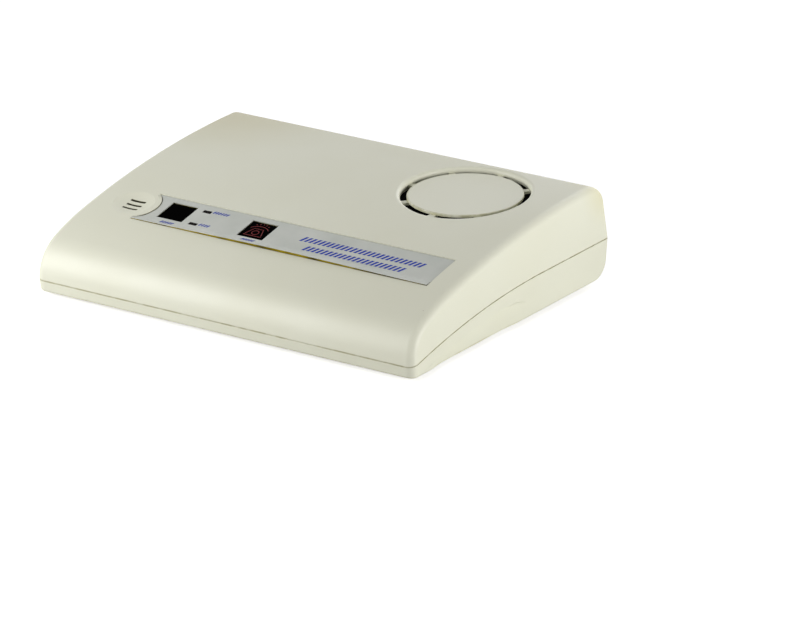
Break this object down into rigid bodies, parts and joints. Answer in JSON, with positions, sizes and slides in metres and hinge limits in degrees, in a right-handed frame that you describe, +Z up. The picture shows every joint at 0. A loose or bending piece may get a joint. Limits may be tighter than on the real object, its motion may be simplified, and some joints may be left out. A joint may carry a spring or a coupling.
{
  "type": "medical alert base station",
  "caption": "Desktop personal emergency call station with a sloped domed case, round speaker grille, printed key strip and rear telephone sockets.",
  "frame": {"origin": "middle of the footprint, on the surface that the rubber feet stand on", "axes": "+X to the user's right along the longest side, +Y to the back, +Z up"},
  "size_m": [0.2074, 0.162, 0.0478],
  "materials": {
    "case_plastic": "fine-textured moulded cream plastic, slightly yellowed",
    "overlay_print": "grey printed film with blue marks",
    "aged_adhesive": "yellowed adhesive",
    "black_key": "matt black key",
    "smoked_window": "smoked window",
    "lamp_resin": "red tinted lamp",
    "speaker_cloth": "black acoustic cloth",
    "speaker_steel": "pressed steel",
    "speaker_paper": "pressed paper",
    "screw_steel": "zinc-plated steel",
    "foot_rubber": "soft rubber",
    "microphone_can": "drawn aluminium",
    "board_laminate": "green glass-epoxy laminate",
    "black_moulding": "black moulding",
    "white_moulding": "white nylon",
    "transformer_core": "varnished steel stampings",
    "bright_metal": "bright metal",
    "contact_gold": "gold-plated contacts",
    "cell_steel": "nickel-plated cans",
    "shrink_sleeve": "blue shrink sleeve",
    "lead_cover": "flexible lead cover"
  },
  "bodies": {
    "root": {"top_case": "case_plastic", "bottom_case": "case_plastic", "battery_cover": "case_plastic", "front_overlay": "overlay_print", "overlay_adhesive": "aged_adhesive", "power_lamp_window": "smoked_window", "line_lamp_window": "smoked_window", "power_led": "lamp_resin", "line_led": "lamp_resin", "speaker_cloth": "speaker_cloth", "speaker_frame": "speaker_steel", "speaker_magnet": "speaker_steel", "speaker_cone": "speaker_paper", "speaker_dust_cap": "speaker_paper", "case_screws": "screw_steel", "battery_cover_screw": "screw_steel", "key_board_screws": "screw_steel", "main_board_screws": "screw_steel", "speaker_screws": "screw_steel", "rubber_feet": "foot_rubber", "microphone_boot": "foot_rubber", "microphone_capsule": "microphone_can", "main_board": "board_laminate", "key_board": "board_laminate", "radio_board": "board_laminate", "stop_switch_body": "black_moulding", "help_switch_body": "black_moulding", "line_jack": "black_moulding", "phone_jack": "black_moulding", "power_inlet": "black_moulding", "power_switch_body": "black_moulding", "line_relay": "black_moulding", "processor_chip": "black_moulding", "memory_chip": "black_moulding", "dialler_chip": "black_moulding", "voltage_regulator": "black_moulding", "filter_capacitors": "black_moulding", "lead_headers": "white_moulding", "battery_plug": "white_moulding", "line_transformer": "transformer_core", "heat_sink": "bright_metal", "clock_crystal": "bright_metal", "power_inlet_pin": "bright_metal", "line_jack_contacts": "contact_gold", "phone_jack_contacts": "contact_gold", "battery_cells": "cell_steel", "battery_sleeve": "shrink_sleeve", "microphone_lead": "lead_cover", "speaker_lead": "lead_cover", "battery_lead": "lead_cover", "key_ribbon": "lead_cover", "receiver_antenna": "lead_cover"},
    "stop_button": {"stop_key": "black_key", "stop_switch_plunger": "black_moulding"},
    "help_button": {"help_key": "black_key", "help_switch_plunger": "black_moulding"},
    "power_slider": {"power_switch_slider": "black_moulding"}
  },
  "joints": [
    {"name": "stop_press", "type": "slide", "parent": "root", "child": "stop_button", "axis": [0, -0.2116, 0.9774], "range_m": [-0.0008, 0], "stiffness_N_per_m": 500, "springref_m": 0.001},
    {"name": "help_press", "type": "slide", "parent": "root", "child": "help_button", "axis": [0, -0.2116, 0.9774], "range_m": [-0.0008, 0], "stiffness_N_per_m": 500, "springref_m": 0.001},
    {"name": "power_slide", "type": "slide", "parent": "root", "child": "power_slider", "axis": [1, 0, 0], "range_m": [0, 0.004]}
  ]
}
